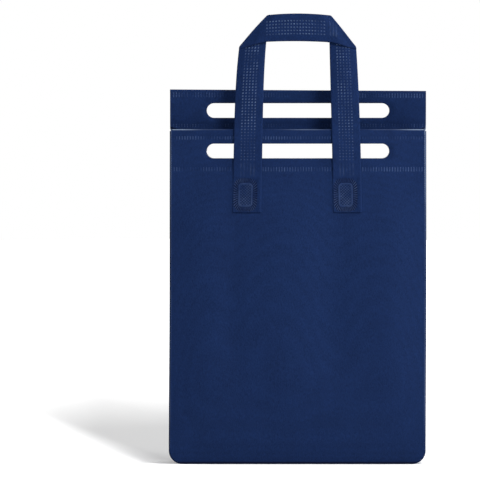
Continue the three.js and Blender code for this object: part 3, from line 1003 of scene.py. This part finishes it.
def seam_marks():
    """Short dashes along the welded seams at the sides of a panel."""
    marks = []
    for z in np.arange(CORNER_RADIUS + 4, FRONT_HEIGHT - 6, DASH_PITCH):
        for hand in (-1, 1):
            x = hand * (HALF_WIDTH - SEAM_LIP - DASH_WIDTH)
            marks.append((1, x, float(z), DASH_WIDTH, DASH_LENGTH, 0.5 * mark_strength(x, z)))
    return marks


# Materials


def put(made, inputs):
    """Sets inputs of a node to values, or links them to other nodes' outputs."""
    for key, value in inputs.items():
        if isinstance(value, bpy.types.NodeSocket):
            made.id_data.links.new(value, made.inputs[key])
        else:
            made.inputs[key].default_value = value


def node(tree, kind, inputs, **settings):
    """Outputs of a new node."""
    made = tree.nodes.new(kind)
    for key, value in settings.items():
        setattr(made, key, value)
    put(made, inputs)
    return made.outputs


def principled(name, inputs):
    """A new material, its node tree, its shader node and its place coordinates."""
    material = bpy.data.materials.new(name)
    material.use_nodes = True
    tree = material.node_tree
    shader = tree.nodes["Principled BSDF"]
    put(shader, inputs)
    return material, tree, shader, node(tree, "ShaderNodeTexCoord", {})["Object"]


def noise(tree, place, scale, detail, rough=0.5):
    inputs = {"Vector": place, "Scale": scale, "Detail": detail, "Roughness": rough}
    return node(tree, "ShaderNodeTexNoise", inputs)["Fac"]


def cells(tree, place, scale, randomness=1, feature="F1"):
    inputs = {"Vector": place, "Scale": scale, "Randomness": randomness}
    return node(tree, "ShaderNodeTexVoronoi", inputs, feature=feature)["Distance"]


def ramp(tree, factor, low, high, start=0.3, end=0.7):
    made = tree.nodes.new("ShaderNodeValToRGB")
    stops = made.color_ramp.elements
    stops[0].position, stops[0].color = start, (*low, 1)
    stops[1].position, stops[1].color = end, (*high, 1)
    put(made, {"Fac": factor})
    return made.outputs["Color"]


def bump(tree, height, strength, distance, below=None):
    inputs = {"Height": height, "Strength": strength, "Distance": distance}
    if below is not None:
        inputs["Normal"] = below
    return node(tree, "ShaderNodeBump", inputs)["Normal"]


def maths(tree, operation, first, second, clamp=False):
    inputs = {0: first, 1: second}
    return node(tree, "ShaderNodeMath", inputs, operation=operation, use_clamp=clamp)[0]


def between(tree, value, low, high, start=0, end=1):
    """Goes from low to high as the value goes from start to end."""
    inputs = {"Value": value, "From Min": start, "From Max": end, "To Min": low, "To Max": high}
    return node(tree, "ShaderNodeMapRange", inputs)["Result"]


def blend(tree, mode, factor, first, second):
    """Blends two colours, and factor 1 is the mode's full effect."""
    inputs = {0: factor, 6: first, 7: second}
    return node(tree, "ShaderNodeMix", inputs, data_type="RGBA", blend_type=mode)[2]


def scaled(colour, factor):
    return tuple(c * factor for c in colour)


def nonwoven(name, colour, weld_colour):
    """Matt spun-bonded cloth: mottled colour, loose fibres, a fine grid of bond points, and painted
    shade and painted highlight where the mesh marks them.
    """
    plain = {"Specular IOR Level": 0.08, "Sheen Weight": 0.02, "Sheen Roughness": 0.4}
    material, tree, shader, place = principled(name, plain)

    mottle = ramp(tree, noise(tree, place, 30, 3), scaled(colour, 0.95), scaled(colour, 1.05))
    drawn_out = node(tree, "ShaderNodeMapping", {"Vector": place, "Scale": (1, 1, 0.45)})
    fibres = noise(tree, drawn_out["Vector"], 900, 4, 0.7)
    fibre_tone = ramp(tree, fibres, (0.78,) * 3, (1.26,) * 3, 0.32, 0.68)
    bonds = cells(tree, place, 780, 0.35)
    bond_tone = ramp(tree, bonds, (0.84,) * 3, (1.06,) * 3, 0.12, 0.5)
    tinted = blend(tree, "MULTIPLY", 1, mottle, fibre_tone)
    dotted = blend(tree, "MULTIPLY", 1, tinted, bond_tone)

    weld, painted_shade, pale = (
        node(tree, "ShaderNodeAttribute", {}, attribute_name=painted)["Fac"]
        for painted in ("weld", "painted_shade", "pale")
    )
    speckled = maths(tree, "MULTIPLY", weld, noise(tree, place, 260, 2))
    stronger = maths(tree, "MULTIPLY", speckled, WELD_STRENGTH, clamp=True)
    welded = blend(tree, "MIX", stronger, dotted, (*weld_colour, 1))
    # Painted shade: darkens the colour towards a dim blue where grooves, the base line and the
    # outer seam edges are marked
    shaded = maths(tree, "MULTIPLY", painted_shade, PAINTED_SHADE_STRENGTH)
    with_painted_shade = blend(tree, "MULTIPLY", shaded, welded, (*PAINTED_SHADE_TINT, 1))
    # Painted highlight: mixes the colour towards a light blue where lit hem crowns and seam edges
    # are marked
    with_painted_highlight = blend(tree, "MIX", pale, with_painted_shade, (*HIGHLIGHT_BLUE, 1))

    fuzz = bump(tree, fibres, 0.35, 0.0002)
    grid = bump(tree, bonds, 0.45, 0.0002, fuzz)
    puckers = bump(tree, noise(tree, place, 130, 3), 0.22, 0.0012, grid)
    roughness = between(tree, weld, 0.84, 0.5)
    put(shader, {"Base Color": with_painted_highlight, "Roughness": roughness, "Normal": puckers})
    return material


def foil_film(name):
    material, tree, shader, place = principled(name, {"Metallic": 0.5})
    wear = noise(tree, place, 60, 4)
    fine = bump(tree, noise(tree, place, 420, 3), 0.25, 0.0003)
    creases = cells(tree, place, 110, feature="DISTANCE_TO_EDGE")
    put(shader, {
        "Base Color": ramp(tree, wear, FOIL_DULL, FOIL_BRIGHT),
        "Roughness": between(tree, wear, 0.2, 0.42),
        "Normal": bump(tree, creases, 0.3, 0.0006, fine),
    })
    return material


def cell_foam(name):
    plain = {"Roughness": 0.7, "Specular IOR Level": 0.35}
    material, tree, shader, place = principled(name, plain)
    pores = cells(tree, place, 900)
    tone = ramp(tree, pores, FOAM_SHADE, FOAM_WHITE, 0.0, 0.6)
    put(shader, {"Base Color": tone, "Normal": bump(tree, pores, 0.5, 0.0004)})
    return material


NAVY = (0.0062, 0.0188, 0.0725)
STRAP_NAVY = (0.0057, 0.0178, 0.0700)
WELD_BLUE = (0.17, 0.25, 0.43)
HEM_WELD_BLUE = (0.035, 0.065, 0.163)
# Colour of the painted highlight on lit hem crowns and seam edges
HIGHLIGHT_BLUE = (0.26, 0.34, 0.48)
# Tint of the painted shade in grooves, along the base and at the outer seam edges
PAINTED_SHADE_TINT = (0.16, 0.2, 0.32)
FOIL_DULL = (0.74, 0.75, 0.77)
FOIL_BRIGHT = (0.88, 0.89, 0.9)
FOAM_SHADE = (0.78, 0.78, 0.76)
FOAM_WHITE = (0.9, 0.9, 0.89)
WELD_STRENGTH = 1.7
# Strength of that painted shade
PAINTED_SHADE_STRENGTH = 0.78

bag_cloth = ("bag_cloth", nonwoven("navy non-woven", NAVY, HEM_WELD_BLUE))
strap_cloth = ("strap_cloth", nonwoven("strap non-woven", STRAP_NAVY, WELD_BLUE))
foil = ("foil", foil_film("silvered film"))
foam = ("foam", cell_foam("white foam"))


# The bag


def dress(piece, look, node_name=None):
    slot, material = look
    piece.data.materials.append(material)
    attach(piece, "root")
    if node_name:
        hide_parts(node_name)
    return piece


for word, side in (("front", -1), ("back", 1)):
    cloth, width, length, area = panel_cloth(f"{word}_cloth", side)
    dress(cloth, bag_cloth, f"{word}_panel")
    hem_welds = dress(weld_marks(f"{word}_hem_welds", side, hem_marks(side)), bag_cloth)
    seam_welds = dress(weld_marks(f"{word}_seam_welds", side, seam_marks()), bag_cloth)

    sheet_foam, *_ = panel_lining(f"{word}_foam_sheet", side, FOAM_NEAR, FOAM, False)
    dress(sheet_foam, foam, f"{word}_foam")
    film, width, length, area = panel_lining(f"{word}_foil_film", side, FOIL_NEAR, FOIL, True)
    dress(film, foil, f"{word}_foil_lining")

    loop, width, length = strap(f"{word}_strap", side)
    dress(loop, strap_cloth, f"{word}_handle")

gusset, width, length = gusset_cloth("gusset_cloth")
dress(gusset, bag_cloth, "side_and_base_gusset")
gusset_foam, *_ = gusset_lining("gusset_foam_sheet", FOAM_NEAR, FOAM, False)
dress(gusset_foam, foam, "gusset_foam")
gusset_film, width, length = gusset_lining("gusset_foil_film", FOIL_NEAR, FOIL, True)
dress(gusset_film, foil, "gusset_foil_lining")


# Camera, framed as the photograph: 480 pixels of 1.172 mm, the bag's middle at 298 and base at 463

PIXEL = BAG_WIDTH / 256 * MM
FRAME_PIXELS = 480
BAG_MIDDLE_PIXEL = 298
BASE_PIXEL = 463
CAMERA_DISTANCE = 10.0
CAMERA_HEIGHT = 0.40
SENSOR_WIDTH = 36

aim = Vector((
    (FRAME_PIXELS / 2 - BAG_MIDDLE_PIXEL) * PIXEL,
    0,
    (BASE_PIXEL - FRAME_PIXELS / 2) * PIXEL,
))
camera_data = bpy.data.cameras.new("camera")
camera_data.sensor_width = SENSOR_WIDTH
camera_data.lens = SENSOR_WIDTH * CAMERA_DISTANCE / (FRAME_PIXELS * PIXEL)
camera = bpy.data.objects.new("camera", camera_data)
camera.location = (0, -CAMERA_DISTANCE, CAMERA_HEIGHT)
camera.rotation_euler = (aim - camera.location).to_track_quat("-Z", "Y").to_euler()
bpy.context.scene.collection.objects.link(camera)
bpy.context.scene.camera = camera


# Floor and light

FLOOR_TURN = math.radians(45)
FLOOR_RISE_START = 0.138
FLOOR_SLOPE = 0.15
FLOOR_BEND = 0.006
FLOOR_TOP = 0.15
WHITE_START = 0.03
WHITE_END = 0.125
SIDE_FADES = (
    ((-1, 0, 0), 0.24, 0.42),
    ((1, 0, 0), 0.1, 0.2),
    ((0, -1, 0), 0.035, 0.07),
    ((-0.88, -0.47, 0), 0.108, 0.168),
)
SIDE_WHITENESS = 0.4
FLOOR_REACH = 6
FLOOR_GREY = 0.86
FLOOR_GLOW = 0.18
WORLD_LIGHT = 0.23


def whiteness(tree, place, direction, start, end, low, high):
    """A number that goes from low to high between two distances along a direction."""
    inputs = {0: place, 1: direction}
    along = node(tree, "ShaderNodeVectorMath", inputs, operation="DOT_PRODUCT")["Value"]
    return between(tree, along, low, high, start, end)


def floor_material():
    """Keeps the shadow near the bag, and fades to plain white for the camera farther out."""
    plain = {"Base Color": (FLOOR_GREY, FLOOR_GREY, FLOOR_GREY, 1), "Roughness": 0.9}
    material, tree, shader, place = principled("floor white", plain)
    put(shader, {"Specular IOR Level": 0.1, "Emission Color": (1, 1, 1, 1)})
    total = whiteness(tree, place, (0, 0, 1), WHITE_START, WHITE_END, FLOOR_GLOW, 1)
    for direction, start, end in SIDE_FADES:
        added = whiteness(tree, place, direction, start, end, 0, SIDE_WHITENESS)
        total = maths(tree, "ADD", total, added)
    seen = node(tree, "ShaderNodeLightPath", {})["Is Camera Ray"]
    put(shader, {"Emission Strength": maths(tree, "MULTIPLY", total, seen)})
    return material


def sweep():
    """A pale floor, flat under the bag, that rises gently towards the back left."""
    bend = np.linspace(0.14, 1.2, 100)
    runs = np.array([-FLOOR_REACH, -1, FLOOR_RISE_START, *bend, FLOOR_REACH])
    beyond = np.clip(runs - FLOOR_RISE_START, 0, None)
    rise = FLOOR_SLOPE * (np.sqrt(beyond**2 + FLOOR_BEND**2) - FLOOR_BEND)
    rise = FLOOR_TOP * np.tanh(rise / FLOOR_TOP)
    toward = (-math.sin(FLOOR_TURN), math.cos(FLOOR_TURN))
    points = []
    for run, z in zip(runs, rise):
        for along in (-FLOOR_REACH, FLOOR_REACH):
            x = run * toward[0] - along * toward[1]
            y = run * toward[1] + along * toward[0]
            points.append((float(x), float(y), float(z)))
    mesh = bpy.data.meshes.new("floor")
    mesh.from_pydata(points, [], grid_faces(2, len(runs)))
    mesh.polygons.foreach_set("use_smooth", [True] * len(mesh.polygons))
    floor = bpy.data.objects.new("floor", mesh)
    bpy.context.scene.collection.objects.link(floor)
    mesh.materials.append(floor_material())


def lamp(name, place, target, size, energy):
    data = bpy.data.lights.new(name, "AREA")
    data.shape = "DISK"
    data.size = size
    data.energy = energy
    light = bpy.data.objects.new(name, data)
    light.location = place
    light.rotation_euler = (Vector(target) - Vector(place)).to_track_quat("-Z", "Y").to_euler()
    bpy.context.scene.collection.objects.link(light)


def world_light():
    """White for the camera and in reflections, and weaker as light on the bag."""
    world = bpy.data.worlds.new("studio")
    bpy.context.scene.world = world
    world.use_nodes = True
    tree = world.node_tree
    path = node(tree, "ShaderNodeLightPath", {})
    seen = maths(tree, "MAXIMUM", path["Is Camera Ray"], path["Is Glossy Ray"])
    level = between(tree, seen, WORLD_LIGHT, 1)
    put(tree.nodes["Background"], {"Color": (1, 1, 1, 1), "Strength": level})


sweep()
world_light()
lamp("key", (1.1, -2.32, 2.15), (0, 0, 0.2), 0.9, 70)
lamp("side", (4.0, -0.55, 0.6), (0, 0, 0.22), 1.1, 126)
lamp("fill", (-1.6, -3.4, 0.9), (0, 0, 0.25), 2.2, 5)
lamp("top", (0.5, 0.6, 2.2), (0, 0, 0.35), 0.8, 10)

bpy.context.scene.view_settings.view_transform = "Standard"
